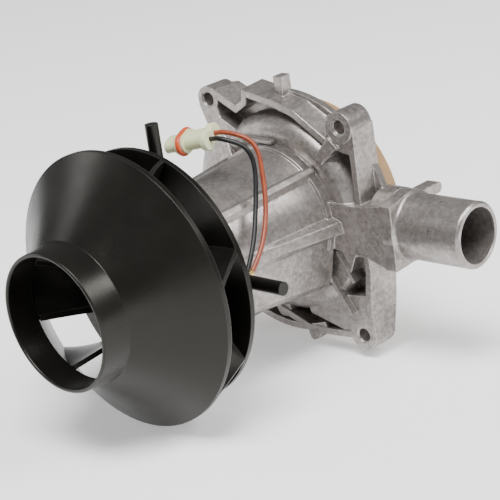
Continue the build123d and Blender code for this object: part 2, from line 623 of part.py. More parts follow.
    # Blower chamber and side channel
    boss((0, 0), CHAMBER_R, -CHAMBER_DEPTH, 0, Mode.SUBTRACT)
    boss((0, 0), COVER_R + FIT, -REGISTER_DEPTH, 0, Mode.SUBTRACT)
    with BuildSketch(Plane.XY) as channel:
        with Locations((CHANNEL_PITCH_R, -CHAMBER_DEPTH)):
            Circle(CHANNEL_R)
    revolve(channel.sketch, axis=Axis.Y, mode=Mode.SUBTRACT)

    # Motor bore, bearing seat, shaft hole and seal seat
    ring(BARREL_BORE_R, 0, BARREL_FRONT_Y - 1, BARREL_FLOOR_Y, Mode.SUBTRACT)
    ring(BEARING_R, 0, BARREL_FLOOR_Y, REAR_BEARING_Y + BEARING_W / 2, Mode.SUBTRACT)
    ring(SHAFT_HOLE_R, 0, REAR_BEARING_Y, 0, Mode.SUBTRACT)
    ring(SEAL_SEAT_R, 0, SEAL_SEAT_Y, 0, Mode.SUBTRACT)

    # Lug, cover-screw and end-cap-screw holes
    for lug in (LUG_A, LUG_B, LUG_C, LUG_D):
        boss(lug, LUG_HOLE_R, FLANGE_FRONT_Y - 5, 1, Mode.SUBTRACT)
        boss(lug, LUG_HOLE_R + LUG_STEP, FLANGE_FRONT_Y - 5, FLANGE_FRONT_Y + LUG_STEP_DEPTH, Mode.SUBTRACT)
    for number in range(COVER_SCREWS):
        boss(polar(COVER_SCREW_PITCH_R, 45 + number * 90), SCREW_R, -COVER_SCREW_DEPTH, 1, Mode.SUBTRACT)
    for angle in BARREL_BOSS_ANGLES:
        hole_end = BARREL_FRONT_Y + CAP_SCREW_DEPTH
        boss(polar(EAR_PITCH_R, angle), SCREW_R, BARREL_FRONT_Y - 1, hole_end, Mode.SUBTRACT)
blower_housing.part.label = "blower_housing"
export_step(blower_housing.part, "parts/blower_housing.step")


# ---- Motor stator and end cap ----------------------------------------------------------------------------

POLE_FRONT_Y, POLE_REAR_Y = -56.5, -21.5
MAGNET_FRONT_Y, MAGNET_REAR_Y = -52.0, -24.0

with BuildPart() as pole_ring:
    ring(BARREL_BORE_R, MAGNET_OUT_R, POLE_FRONT_Y, POLE_REAR_Y)
pole_ring.part.label = "pole_ring"
export_step(pole_ring.part, "parts/pole_ring.step")

with BuildPart() as field_magnets:
    with BuildSketch(across(MAGNET_REAR_Y)):
        for middle in (0, 180):
            start, end = middle - MAGNET_SPAN / 2, middle + MAGNET_SPAN / 2
            with BuildLine():
                inner = ThreePointArc(*[polar(MAGNET_IN_R, angle) for angle in (start, middle, end)])
                outer = ThreePointArc(*[polar(MAGNET_OUT_R, angle) for angle in (start, middle, end)])
                Line(inner @ 0, outer @ 0)
                Line(inner @ 1, outer @ 1)
            make_face()
    extrude(amount=MAGNET_REAR_Y - MAGNET_FRONT_Y)
field_magnets.part.label = "field_magnets"
export_step(field_magnets.part, "parts/field_magnets.step")

HOLDER_W, HOLDER_D, HOLDER_WALL = 5.6, 4.6, 0.5
HOLDER_IN_Z, HOLDER_OUT_Z, HOLDER_END_T = 8.6, 18.2, 0.6
BRUSH_LIFT = 2.0
BRUSH_OUT_Z = 14.0
SPRING_R, SPRING_WIRE_R, SPRING_TURNS = 1.25, 0.2, 4
CARRIER_REAR_Y = BRUSH_Y - HOLDER_D / 2
CARRIER_HALF_W = 3.5
BLOCK_FRONT_Y = -72.0
PIN_START_R, PIN_ROOT_R, PIN_ROOT_L = CAP_R - 3, 3.4, 12.0      # pins start inside the cap's edge
LEAD_BLOCK = [(PIN_START_R, -4.4), (32.0, -3.8), (35.4, -1.2), (35.4, 2.6), (32.0, 3.8), (PIN_START_R, 4.4)]
CAP_SPIGOT_T, CAP_SPIGOT_L = 1.6, 4.0
SHAFT_WINDOW_R = 4.5
PRELOAD_T = 0.5           # thin washer in front of the front bearing

with BuildPart() as motor_end_cap:
    ring(CAP_R, 0, CAP_FRONT_Y, BARREL_FRONT_Y)
    ring(BARREL_BORE_R, BARREL_BORE_R - CAP_SPIGOT_T, BARREL_FRONT_Y, BARREL_FRONT_Y + CAP_SPIGOT_L)
    # Radial pins, each with a short thicker root
    for number in range(PINS):
        pin_x, pin_z = polar(1, number * 360 / PINS)
        outwards = Vector(pin_x, 0, pin_z)
        for radius, length in ((PIN_R, PIN_TIP_R - PIN_START_R), (PIN_ROOT_R, PIN_ROOT_L)):
            with BuildSketch(Plane(Vector(0, PIN_Y, 0) + outwards * PIN_START_R, z_dir=outwards)) as pin:
                Circle(radius)
            extrude(pin.sketch, amount=length)
    # Lead block behind the +X pin, and brush carriers at top and bottom
    slab(LEAD_BLOCK, BLOCK_FRONT_Y, BLOCK_REAR_Y)
    for low, high in ((HOLDER_IN_Z, HOLDER_OUT_Z), (-HOLDER_OUT_Z, -HOLDER_IN_Z)):
        left, right = -CARRIER_HALF_W, CARRIER_HALF_W
        slab([(left, low), (right, low), (right, high), (left, high)], BARREL_FRONT_Y, CARRIER_REAR_Y)
    # Ears for the end cap's screws
    for angle in BARREL_BOSS_ANGLES:
        boss(polar(EAR_PITCH_R, angle), EAR_R, EAR_FRONT_Y, BARREL_FRONT_Y)
        boss(polar(EAR_PITCH_R, angle), SCREW_R + SCREW_CLEARANCE, EAR_FRONT_Y, BARREL_FRONT_Y, Mode.SUBTRACT)
        head_room = SCREW_R * HEAD_GROWTH + HEAD_CLEARANCE
        boss(polar(EAR_PITCH_R, angle), head_room, CAP_FRONT_Y, EAR_FRONT_Y, Mode.SUBTRACT)
    # Bearing seat and shaft hole
    ring(BEARING_R, 0, FRONT_BEARING_Y - BEARING_W / 2 - PRELOAD_T, BARREL_FRONT_Y + 1, Mode.SUBTRACT)
    ring(SHAFT_WINDOW_R, 0, CAP_FRONT_Y, BARREL_FRONT_Y, Mode.SUBTRACT)
motor_end_cap.part.label = "motor_end_cap"
export_step(motor_end_cap.part, "parts/motor_end_cap.step")

with BuildPart() as preload_washer:
    bearing_face = FRONT_BEARING_Y - BEARING_W / 2
    ring(BEARING_R, OUTER_RACE_R, bearing_face - PRELOAD_T, bearing_face)
preload_washer.part.label = "preload_washer"
export_step(preload_washer.part, "parts/preload_washer.step")

with BuildPart() as brush_holders:
    for sign in (1, -1):
        with BuildSketch(Plane.XY.offset(sign * HOLDER_IN_Z)) as tube:
            with Locations((0, BRUSH_Y)):
                Rectangle(HOLDER_W, HOLDER_D)
                Rectangle(HOLDER_W - 2 * HOLDER_WALL, HOLDER_D - 2 * HOLDER_WALL, mode=Mode.SUBTRACT)
        extrude(tube.sketch, amount=sign * (HOLDER_OUT_Z - HOLDER_IN_Z))
        with BuildSketch(Plane.XY.offset(sign * HOLDER_OUT_Z)) as end:
            with Locations((0, BRUSH_Y)):
                Rectangle(HOLDER_W, HOLDER_D)
        extrude(end.sketch, amount=sign * HOLDER_END_T)
brush_holders.part.label = "brush_holders"
export_step(brush_holders.part, "parts/brush_holders.step")

BRUSH_W = HOLDER_W - 2 * HOLDER_WALL - 4 * FIT
BRUSH_D = HOLDER_D - 2 * HOLDER_WALL - 4 * FIT

for place, sign in (("top", 1), ("bottom", -1)):
    with BuildPart() as brush:
        with BuildSketch(Plane.XY.offset(sign * (COMMUTATOR_R - 1.0))):
            with Locations((0, BRUSH_Y)):
                Rectangle(BRUSH_W, BRUSH_D)
        extrude(amount=sign * (BRUSH_OUT_Z - COMMUTATOR_R + 1.0))
        ring(COMMUTATOR_R + FIT, 0, COMMUTATOR_FRONT_Y, COMMUTATOR_REAR_Y, Mode.SUBTRACT)
    brush.part.label = f"brush_{place}"
    export_step(brush.part, f"parts/brush_{place}.step")

    spring_length = HOLDER_OUT_Z - BRUSH_OUT_Z - 2 * SPRING_WIRE_R
    with BuildPart() as brush_spring:
        with BuildLine():
            coil = Helix(
                pitch=spring_length / SPRING_TURNS,
                height=spring_length,
                radius=SPRING_R,
                center=(0, BRUSH_Y, sign * (BRUSH_OUT_Z + SPRING_WIRE_R)),
                direction=(0, 0, sign),
            )
        with BuildSketch(Plane(coil @ 0, z_dir=coil % 0)):
            Circle(SPRING_WIRE_R)
        sweep(is_frenet=True)
    brush_spring.part.label = f"brush_spring_{place}"
    export_step(brush_spring.part, f"parts/brush_spring_{place}.step")


# ---- Shaft seal and blower cover -------------------------------------------------------------------------

with BuildPart() as shaft_seal:
    ring(SEAL_SEAT_R, SHAFT_R + FIT, SEAL_SEAT_Y, SEAL_SEAT_Y + SEAL_T)
shaft_seal.part.label = "shaft_seal"
export_step(shaft_seal.part, "parts/shaft_seal.step")

COVER_EDGE = 1.2
SHAFT_POCKET_R, SHAFT_POCKET_GAP = 8.0, 1.5
COVER_SCREW_GRIP = 6.5

with BuildPart() as blower_cover:
    ring(COVER_R, 0, -REGISTER_DEPTH, COVER_REAR_Y)
    front_rim, rear_rim = blower_cover.edges().filter_by(GeomType.CIRCLE).sort_by(Axis.Y)
    chamfer(front_rim, REGISTER_DEPTH)
    chamfer(rear_rim, COVER_EDGE)
    boss((0, 0), CHAMBER_R, -REGISTER_DEPTH, CHAMBER_DEPTH, Mode.SUBTRACT)
    boss((0, 0), SHAFT_POCKET_R, 0, SHAFT_REAR_Y + SHAFT_POCKET_GAP, Mode.SUBTRACT)
    with BuildSketch(Plane.XY) as channel:
        with Locations((CHANNEL_PITCH_R, CHAMBER_DEPTH)):
            Circle(CHANNEL_R)
    revolve(channel.sketch, axis=Axis.Y, mode=Mode.SUBTRACT)
    for number in range(COVER_SCREWS):
        spot = polar(COVER_SCREW_PITCH_R, 45 + number * 90)
        boss(spot, SCREW_R + SCREW_CLEARANCE, -1, COVER_REAR_Y + 1, Mode.SUBTRACT)
blower_cover.part.label = "blower_cover"
export_step(blower_cover.part, "parts/blower_cover.step")


# ---- Fasteners -------------------------------------------------------------------------------------------

def screw(centre, seat_y, length, towards):
    """A pan-head screw: its shank runs from seat_y towards +Y (1) or -Y (-1), its head the other way."""
    for radius, reach in ((SCREW_R, length * towards), (SCREW_R * HEAD_GROWTH, -HEAD_T * towards)):
        boss(centre, radius, min(seat_y, seat_y + reach), max(seat_y, seat_y + reach))
    top = seat_y - HEAD_T * towards
    floor = top + SOCKET_DEPTH * towards
    boss(centre, SCREW_R * 0.8, min(top, floor), max(top, floor), Mode.SUBTRACT)


with BuildPart() as cover_screws:
    for number in range(COVER_SCREWS):
        spot = polar(COVER_SCREW_PITCH_R, 45 + number * 90)
        screw(spot, COVER_REAR_Y, COVER_REAR_Y + COVER_SCREW_GRIP, -1)
cover_screws.part.label = "cover_screws"
export_step(cover_screws.part, "parts/cover_screws.step")

with BuildPart() as end_cap_screws:
    for angle in BARREL_BOSS_ANGLES:
        screw(polar(EAR_PITCH_R, angle), EAR_FRONT_Y, CAP_SCREW_L, 1)
end_cap_screws.part.label = "end_cap_screws"
export_step(end_cap_screws.part, "parts/end_cap_screws.step")


# ---- Leads and connector ---------------------------------------------------------------------------------

PLUG_PLANE = Plane(PLUG_REAR, x_dir=PLUG_WIDE, z_dir=PLUG_DIR)      # x across both leads, z to the mating end
LEAD_SPOTS = [(-LEAD_GAP / 2, 0), (LEAD_GAP / 2, 0)]
FLANGE_T, BODY_L, NOSE_L = 2.2, 11.5, 5.5
PLUG_L = FLANGE_T + BODY_L + NOSE_L
SEAL_FROM, SEAL_W = 11.2, 2.0
SHOULDER_W = 1.0
LOBE_R, LOBE_X, WAIST_H = 3.6, LEAD_GAP / 2 + 0.8, 5.0       # the rear flange's round lobes and its middle
BODY_SIZE, NOSE_SIZE, SHOULDER_SIZE, SEAL_SIZE = (9.6, 5.4), (8.6, 4.8), (11.4, 7.2), (13.2, 8.6)
CONTACT_SETBACK = 0.5     # the contacts stop inside the nose
CRIMP_L, CONTACT_R = 6.0, 0.6

with BuildPart() as connector_housing:
    with BuildSketch(PLUG_PLANE):
        with Locations((-LOBE_X, 0), (LOBE_X, 0)):
            Circle(LOBE_R)
        Rectangle(LEAD_GAP, WAIST_H)
    extrude(amount=FLANGE_T)
    with BuildSketch(PLUG_PLANE.offset(FLANGE_T)):
        SlotOverall(*BODY_SIZE)
    extrude(amount=BODY_L)
    with BuildSketch(PLUG_PLANE.offset(FLANGE_T + BODY_L)):
        SlotOverall(*NOSE_SIZE)
    extrude(amount=NOSE_L)
    # Shoulders each side of the seal
    for start in (SEAL_FROM - SHOULDER_W, SEAL_FROM + SEAL_W):
        with BuildSketch(PLUG_PLANE.offset(start)):
            SlotOverall(*SHOULDER_SIZE)
        extrude(amount=SHOULDER_W)
    # A passage for each lead and its contact
    with BuildSketch(PLUG_PLANE):
        with Locations(*LEAD_SPOTS):
            Circle(LEAD_R + FIT)
    extrude(amount=PLUG_L, mode=Mode.SUBTRACT)
connector_housing.part.label = "connector_housing"
export_step(connector_housing.part, "parts/connector_housing.step")

with BuildPart() as connector_contacts:
    with BuildSketch(PLUG_PLANE):
        with Locations(*LEAD_SPOTS):
            Circle(LEAD_R)
    extrude(amount=CRIMP_L)
    with BuildSketch(PLUG_PLANE.offset(CRIMP_L)):
        with Locations(*LEAD_SPOTS):
            Circle(CONTACT_R)
    extrude(amount=PLUG_L - CRIMP_L - CONTACT_SETBACK)
connector_contacts.part.label = "connector_contacts"
export_step(connector_contacts.part, "parts/connector_contacts.step")

with BuildPart() as connector_seal:
    with BuildSketch(PLUG_PLANE.offset(SEAL_FROM)):
        SlotOverall(*SEAL_SIZE)
    extrude(amount=SEAL_W)
    fillet(connector_seal.edges(), SEAL_W * 0.4)
    with BuildSketch(PLUG_PLANE.offset(SEAL_FROM)):
        SlotOverall(*BODY_SIZE)
    extrude(amount=SEAL_W, mode=Mode.SUBTRACT)
connector_seal.part.label = "connector_seal"
export_step(connector_seal.part, "parts/connector_seal.step")

with BuildPart() as motor_terminals:
    for end in (RED_END, BLACK_END):
        boss(end, FERRULE_R, BLOCK_REAR_Y, BLOCK_REAR_Y + FERRULE_L)
motor_terminals.part.label = "motor_terminals"
export_step(motor_terminals.part, "parts/motor_terminals.step")

LEAD_END_Y = BLOCK_REAR_Y + FERRULE_L
LEAD_EXIT = 3.0           # straight length of lead behind the plug
RED_START = PLUG_PLANE.from_local_coords(LEAD_SPOTS[0])
BLACK_START = PLUG_PLANE.from_local_coords(LEAD_SPOTS[1])
RED_ROUTE = [
    RED_START,
    RED_START - PLUG_DIR * LEAD_EXIT,
    Vector(12.0, -43.6, 44.3),
    Vector(15.8, -42.3, 43.3),
    Vector(19.2, -40.9, 41.4),
    Vector(22.0, -40.7, 37.4),
    Vector(24.0, -42.2, 31.7),
    Vector(26.6, -44.7, 24.4),
    Vector(29.1, -48.3, 17.1),
    Vector(31.5, -53.3, 10.1),
    Vector(33.2, -59.0, 4.5),
    Vector(RED_END[0], LEAD_END_Y, RED_END[1]),
]
BLACK_ROUTE = [
    BLACK_START,
    BLACK_START - PLUG_DIR * LEAD_EXIT,
    Vector(13.6, -47.5, 42.9),
    Vector(17.0, -45.8, 41.7),
    Vector(19.7, -44.2, 39.5),
    Vector(21.5, -43.6, 35.8),
    Vector(22.9, -44.6, 30.6),
    Vector(24.4, -47.2, 24.0),
    Vector(26.4, -51.0, 17.2),
    Vector(28.5, -55.1, 10.9),
    Vector(30.2, -59.7, 4.7),
    Vector(BLACK_END[0], LEAD_END_Y, BLACK_END[1]),
]


def bend_radii(route):
    """The largest gentle arc at each corner: 0.45 of its shorter run over the tangent of half its turn."""
    radii = []
    for before, corner, after in zip(route, route[1:], route[2:]):
        arriving, leaving = corner - before, after - corner
        half_turn = radians(arriving.get_angle(leaving) / 2)
        radii.append(0.45 * min(arriving.length, leaving.length) / tan(half_turn))
    return radii


def print_lead(name, line, radii, volume):
    expected = pi * LEAD_R**2 * line.length
    print(name, "length", round(line.length, 1), "radii", [round(radius, 1) for radius in radii])
    print(name, "volume", round(volume, 2), "section times length", round(expected, 2))


with BuildPart() as lead_red:
    with BuildLine():
        red_line = FilletPolyline(*RED_ROUTE, radius=bend_radii(RED_ROUTE))
    with BuildSketch(Plane(red_line @ 0, z_dir=red_line % 0)):
        Circle(LEAD_R)
    sweep()
lead_red.part.label = "lead_red"
export_step(lead_red.part, "parts/lead_red.step")
print_lead("lead_red", red_line, bend_radii(RED_ROUTE), lead_red.part.volume)

with BuildPart() as lead_black:
    with BuildLine():
        black_line = FilletPolyline(*BLACK_ROUTE, radius=bend_radii(BLACK_ROUTE))
    with BuildSketch(Plane(black_line @ 0, z_dir=black_line % 0)):
        Circle(LEAD_R)
    sweep()
lead_black.part.label = "lead_black"
export_step(lead_black.part, "parts/lead_black.step")
print_lead("lead_black", black_line, bend_radii(BLACK_ROUTE), lead_black.part.volume)
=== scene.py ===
import json
from math import radians

import bpy
from mathutils import Matrix, Vector

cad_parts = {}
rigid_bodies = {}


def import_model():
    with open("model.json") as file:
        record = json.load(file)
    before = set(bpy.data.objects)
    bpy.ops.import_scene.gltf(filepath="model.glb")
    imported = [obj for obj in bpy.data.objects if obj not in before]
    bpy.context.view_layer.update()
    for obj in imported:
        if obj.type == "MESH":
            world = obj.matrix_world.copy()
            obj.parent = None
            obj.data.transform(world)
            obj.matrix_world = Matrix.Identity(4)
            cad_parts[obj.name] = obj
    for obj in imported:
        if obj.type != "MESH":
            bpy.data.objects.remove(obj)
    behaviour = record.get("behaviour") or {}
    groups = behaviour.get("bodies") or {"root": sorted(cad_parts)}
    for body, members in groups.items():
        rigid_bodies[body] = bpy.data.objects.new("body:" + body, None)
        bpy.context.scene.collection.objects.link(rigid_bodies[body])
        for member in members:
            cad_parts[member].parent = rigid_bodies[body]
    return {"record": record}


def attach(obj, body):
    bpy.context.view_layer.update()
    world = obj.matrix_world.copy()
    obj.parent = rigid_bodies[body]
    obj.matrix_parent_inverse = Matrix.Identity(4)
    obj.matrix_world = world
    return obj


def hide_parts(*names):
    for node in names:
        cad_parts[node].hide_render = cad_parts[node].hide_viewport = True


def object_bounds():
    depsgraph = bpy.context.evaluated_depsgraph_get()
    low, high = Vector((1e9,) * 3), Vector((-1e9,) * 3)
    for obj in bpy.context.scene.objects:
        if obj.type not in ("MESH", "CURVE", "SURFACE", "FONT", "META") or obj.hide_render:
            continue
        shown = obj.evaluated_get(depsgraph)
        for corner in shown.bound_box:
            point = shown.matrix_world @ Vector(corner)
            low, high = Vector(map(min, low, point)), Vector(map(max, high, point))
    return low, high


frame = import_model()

CAD_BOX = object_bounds()
FLOOR_Z = CAD_BOX[0][2]
MM = 0.001


# ---- Node helpers ----------------------------------------------------------------------------------------

# Sockets of a Mix node in colour mode, whose names aren't unique
MIX_AMOUNT, MIX_FIRST, MIX_SECOND, MIX_RESULT = 0, 6, 7, 2

BEVEL_SAMPLES = 6

# The distance between the bands of a wave texture at a scale of 1
WAVE_PERIOD = 0.314


def opaque(value):
    """A colour with its alpha; anything else as it is."""
    return (*value, 1) if isinstance(value, tuple) and len(value) == 3 else value


class Shader:
    """A small builder for one material's node tree."""

    def __init__(self, name):
        self.material = bpy.data.materials.new(name)
        self.material.use_nodes = True
        self.nodes = self.material.node_tree.nodes
        self.links = self.material.node_tree.links
        self.surface = self.nodes["Principled BSDF"]
        self.place = self.nodes.new("ShaderNodeTexCoord").outputs["Object"]

    def node(self, kind, settings=None, **inputs):
        """Add a node; inputs are numbers or other nodes' outputs, by socket name."""
        node = self.nodes.new(kind)
        for key, value in (settings or {}).items():
            setattr(node, key, value)
        for key, value in inputs.items():
            self.feed(node.inputs[key.replace("_", " ")], value)
        return node

    def feed(self, socket, value):
        """Link a node's output to a socket, or set the socket's own value."""
        if isinstance(value, bpy.types.NodeSocket):
            self.links.new(value, socket)
        else:
            socket.default_value = value

    def stretched(self, scale):
        """The object's own coordinates, multiplied along each axis."""
        node = self.node("ShaderNodeMapping", Vector=self.place)
        node.inputs["Scale"].default_value = scale
        return node.outputs["Vector"]

    def noise(self, scale, detail, roughness, distortion=0.0, at=None):
        """Clouds of grey, scale of them to the metre, in the object's coordinates unless at says others."""
        node = self.node("ShaderNodeTexNoise", Vector=at or self.place, Scale=scale, Detail=detail)
        node.inputs["Roughness"].default_value = roughness
        node.inputs["Distortion"].default_value = distortion
        return node.outputs["Fac"]

    def cells(self, scale):
        """The distance to the nearest of many scattered points."""
        node = self.node("ShaderNodeTexVoronoi", Vector=self.place, Scale=scale)
        return node.outputs["Distance"]

    def ramp(self, value, start, end):
        """Greys that run between two stops, each a position and the grey there."""
        node = self.nodes.new("ShaderNodeValToRGB")
        self.feed(node.inputs["Fac"], value)
        for element, (position, grey) in zip(node.color_ramp.elements, (start, end)):
            element.position = position
            element.color = (grey, grey, grey, 1)
        return node.outputs["Color"]

    def mix(self, amount, first, second):
        """A colour between two colours."""
        node = self.node("ShaderNodeMix", {"data_type": "RGBA"})
        self.feed(node.inputs[MIX_AMOUNT], amount)
        self.feed(node.inputs[MIX_FIRST], opaque(first))
        self.feed(node.inputs[MIX_SECOND], opaque(second))
        return node.outputs[MIX_RESULT]

    def math(self, operation, first, second):
        node = self.node("ShaderNodeMath", {"operation": operation})
        self.feed(node.inputs[0], first)
        self.feed(node.inputs[1], second)
        return node.outputs[0]

    def rounded_normal(self, radius):
        """The normal that the surface would have with its edges rounded."""
        return self.node("ShaderNodeBevel", {"samples": BEVEL_SAMPLES}, Radius=radius).outputs["Normal"]

    def edges(self, radius):
        """Above 0 on sharp edges, 0 on flat ground: how far the rounded normal leaves the true one."""
        true_normal = self.nodes.new("ShaderNodeNewGeometry").outputs["Normal"]
        dot = self.node("ShaderNodeVectorMath", {"operation": "DOT_PRODUCT"})
        self.feed(dot.inputs[0], self.rounded_normal(radius))
        self.feed(dot.inputs[1], true_normal)
        return self.math("SUBTRACT", 1.0, dot.outputs["Value"])

    def bump(self, height, strength, distance, rounding=0.0):
        """A bump from a height, on normals that are rounded at the edges when rounding is given."""
        node = self.node("ShaderNodeBump", Height=height, Strength=strength, Distance=distance)
        if rounding:
            self.feed(node.inputs["Normal"], self.rounded_normal(rounding))
        self.feed(self.surface.inputs["Normal"], node.outputs["Normal"])

    def finish(self, **sockets):
        """Set the surface shader's own sockets."""
        for key, value in sockets.items():
            self.feed(self.surface.inputs[key.replace("_", " ")], opaque(value))
        return self.material


# ---- Materials -------------------------------------------------------------------------------------------

# Colours that only one function uses
JET, SOOT = (0.0030, 0.0028, 0.0024), (0.0075, 0.0070, 0.0060)
# SCUFFED is for scuffs; the second colour here is a painted highlight laid along sharp edges
SCUFFED, BLACK_EDGE_HIGHLIGHT = (0.045, 0.043, 0.04), (0.06, 0.057, 0.052)
WARM_SHINE = (1.0, 0.96, 0.88)
CAST_DARK, CAST_LIGHT = (0.195, 0.174, 0.165), (0.350, 0.322, 0.305)
STAIN, FROST = (0.105, 0.090, 0.085), (0.56, 0.53, 0.51)
# The second colour here is a painted highlight for the aluminium's sharp edges
SPECK, METAL_EDGE_HIGHLIGHT = (0.055, 0.047, 0.045), (0.72, 0.70, 0.68)


def black_plastic():
    """Glass-filled nylon: near black, broad soft gloss, faint flow marks and scuffs, and a painted
    highlight along its sharp edges.
    """
    s = Shader("black_plastic")
    flow = s.noise(22, 3, 0.5, distortion=1.2, at=s.stretched((1, 0.35, 1)))
    grain = s.noise(1400, 2, 0.6)
    scuffs = s.noise(700, 3, 0.6, distortion=0.8, at=s.stretched((1, 3, 1)))
    edges = s.edges(0.6 * MM)
    colour = s.mix(s.ramp(flow, (0.35, 0.0), (0.75, 1.0)), JET, SOOT)
    colour = s.mix(s.ramp(scuffs, (0.66, 0.0), (0.78, 0.35)), colour, SCUFFED)
    # Painted highlight: sharp edges are made paler, standing in for light catching them
    colour = s.mix(s.ramp(edges, (0.02, 0.0), (0.25, 0.5)), colour, BLACK_EDGE_HIGHLIGHT)
    rough = s.ramp(s.noise(60, 4, 0.6), (0.3, 0.26), (0.75, 0.38))
    s.bump(grain, strength=0.18, distance=0.12 * MM, rounding=0.4 * MM)
    return s.finish(Base_Color=colour, Roughness=rough, Specular_IOR_Level=0.32, Specular_Tint=WARM_SHINE)


def cast_aluminium():
    """Die-cast, tumbled aluminium: warm grey, mottled, stained, with dark specks and a painted highlight
    along its sharp edges, broken into patches.
    """
    s = Shader("cast_aluminium")
    patches = s.noise(42, 6, 0.68, distortion=0.8)
    stains = s.noise(95, 5, 0.65, distortion=1.4, at=s.stretched((1, 0.6, 1)))
    fine = s.noise(520, 4, 0.7)
    # Noise that breaks the painted edge highlight into patches
    highlight_breakup = s.ramp(s.noise(240, 3, 0.6), (0.3, 0.25), (0.7, 1.0))
    painted_edge_highlight = s.math("MULTIPLY", s.edges(0.9 * MM), highlight_breakup)
    colour = s.mix(s.ramp(patches, (0.34, 0.0), (0.66, 1.0)), CAST_DARK, CAST_LIGHT)
    colour = s.mix(s.ramp(stains, (0.54, 0.0), (0.72, 0.40)), colour, STAIN)
    colour = s.mix(s.ramp(fine, (0.42, 0.0), (0.70, 0.55)), colour, FROST)
    colour = s.mix(s.ramp(s.cells(260), (0.05, 0.75), (0.11, 0.0)), colour, SPECK)
    # Painted highlight: sharp edges are made paler, standing in for light glancing off them
    colour = s.mix(s.ramp(painted_edge_highlight, (0.03, 0.0), (0.30, 0.6)), colour, METAL_EDGE_HIGHLIGHT)
    rough = s.ramp(patches, (0.3, 0.42), (0.7, 0.28))
    height = s.math("ADD", s.math("MULTIPLY", fine, 0.7), s.math("MULTIPLY", patches, 0.8))
    s.bump(height, strength=0.45, distance=0.3 * MM, rounding=0.8 * MM)
    return s.finish(Base_Color=colour, Roughness=rough, Metallic=0.78)


def moulding(name, dark, light, speck, roughness, grain_scale=900, see_through=0.0):
    """A matt moulded plastic: two close shades in soft clouds, fine specks, a painted highlight along sharp
    edges and a fine grain.
    """
    s = Shader(name)
    clouds = s.noise(45, 5, 0.6, distortion=0.4)
    specks = s.noise(2200, 2, 0.5)
    grain = s.noise(grain_scale, 3, 0.6)
    colour = s.mix(s.ramp(clouds, (0.3, 0.0), (0.72, 1.0)), dark, light)
    colour = s.mix(s.ramp(specks, (0.62, 0.0), (0.72, 0.6)), colour, speck)
    # Painted highlight: sharp edges are made paler, standing in for light catching them
    colour = s.mix(s.ramp(s.edges(0.5 * MM), (0.02, 0.0), (0.25, 0.5)), colour, light)
    rough = s.ramp(clouds, (0.3, roughness - 0.06), (0.75, roughness + 0.08))
    s.bump(grain, strength=0.2, distance=0.1 * MM, rounding=0.4 * MM)
    return s.finish(
        Base_Color=colour,
        Roughness=rough,
        Subsurface_Weight=see_through,
        Subsurface_Scale=2 * MM,
    )


def turned_metal(name, dark, light, roughness, stretch=(1, 40, 1)):
    """Turned or drawn metal: fine rings across the motor axis, a few dull clouds and a painted highlight on
    its sharp edges.
    """
    s = Shader(name)
    rings = s.noise(60, 4, 0.7, at=s.stretched(stretch))
    clouds = s.noise(110, 4, 0.6)
    colour = s.mix(s.ramp(rings, (0.3, 0.0), (0.7, 1.0)), dark, light)
    colour = s.mix(s.ramp(clouds, (0.5, 0.0), (0.8, 0.5)), colour, dark)
    # Painted highlight: sharp edges are made paler, standing in for light glancing off them
    colour = s.mix(s.ramp(s.edges(0.3 * MM), (0.03, 0.0), (0.3, 0.7)), colour, light)
    rough = s.ramp(clouds, (0.3, roughness), (0.8, roughness + 0.15))
    s.bump(rings, strength=0.15, distance=0.08 * MM, rounding=0.2 * MM)
    return s.finish(Base_Color=colour, Roughness=rough, Metallic=1.0)


def layered(name, dark, light, pitch, roughness, metallic, axis="Y"):
    """Stacked sheets or wound wire: dark gaps at an even pitch along an axis, over a mottled metal."""
    s = Shader(name)
    wave = {"bands_direction": axis, "wave_profile": "SIN"}
    bands = s.node("ShaderNodeTexWave", wave, Vector=s.place, Scale=WAVE_PERIOD / pitch, Distortion=0.6)
    gaps = bands.outputs["Fac"]
    clouds = s.noise(150, 4, 0.6)
    shadow = tuple(0.2 * shade for shade in dark)
    colour = s.mix(s.ramp(clouds, (0.3, 0.0), (0.7, 1.0)), dark, light)
    colour = s.mix(s.ramp(gaps, (0.1, 0.8), (0.45, 0.0)), colour, shadow)
    rough = s.ramp(clouds, (0.3, roughness), (0.75, roughness + 0.15))
    s.bump(gaps, strength=0.5, distance=0.1 * MM)
    return s.finish(Base_Color=colour, Roughness=rough, Metallic=metallic)


def insulation(name, dark, light):
    """Extruded lead insulation: smooth, with handling marks, faint grain and a soft shine."""
    s = Shader(name)
    marks = s.noise(160, 4, 0.6, distortion=0.5)
    specks = s.noise(1500, 2, 0.5)
    colour = s.mix(s.ramp(marks, (0.3, 0.0), (0.7, 1.0)), dark, light)
    colour = s.mix(s.ramp(specks, (0.6, 0.0), (0.75, 0.35)), colour, light)
    rough = s.ramp(marks, (0.3, 0.32), (0.75, 0.5))
    s.bump(s.noise(900, 3, 0.6), strength=0.15, distance=0.08 * MM)
    return s.finish(Base_Color=colour, Roughness=rough)


# Colours of the materials, the darker before the lighter
RUST_BROWN, BROWN, TAN = (0.22, 0.11, 0.05), (0.25, 0.145, 0.065), (0.40, 0.25, 0.125)
OLIVE, PALE_GREEN, CREAM = (0.5, 0.52, 0.4), (0.58, 0.62, 0.36), (0.78, 0.80, 0.54)
OXBLOOD, BRICK, ORANGE_RED = (0.35, 0.03, 0.015), (0.50, 0.060, 0.018), (0.68, 0.115, 0.035)
RUBBER_DARK, RUBBER_LIGHT, RUBBER_DUST = (0.012, 0.012, 0.012), (0.03, 0.03, 0.03), (0.05, 0.05, 0.05)
RESIN_DARK, RESIN_LIGHT, RESIN_FLECK = (0.07, 0.03, 0.015), (0.13, 0.06, 0.03), (0.2, 0.1, 0.05)
FERRITE_DARK, FERRITE_LIGHT = (0.035, 0.034, 0.036), (0.065, 0.063, 0.066)
FERRITE_FLECK = (0.12, 0.12, 0.12)
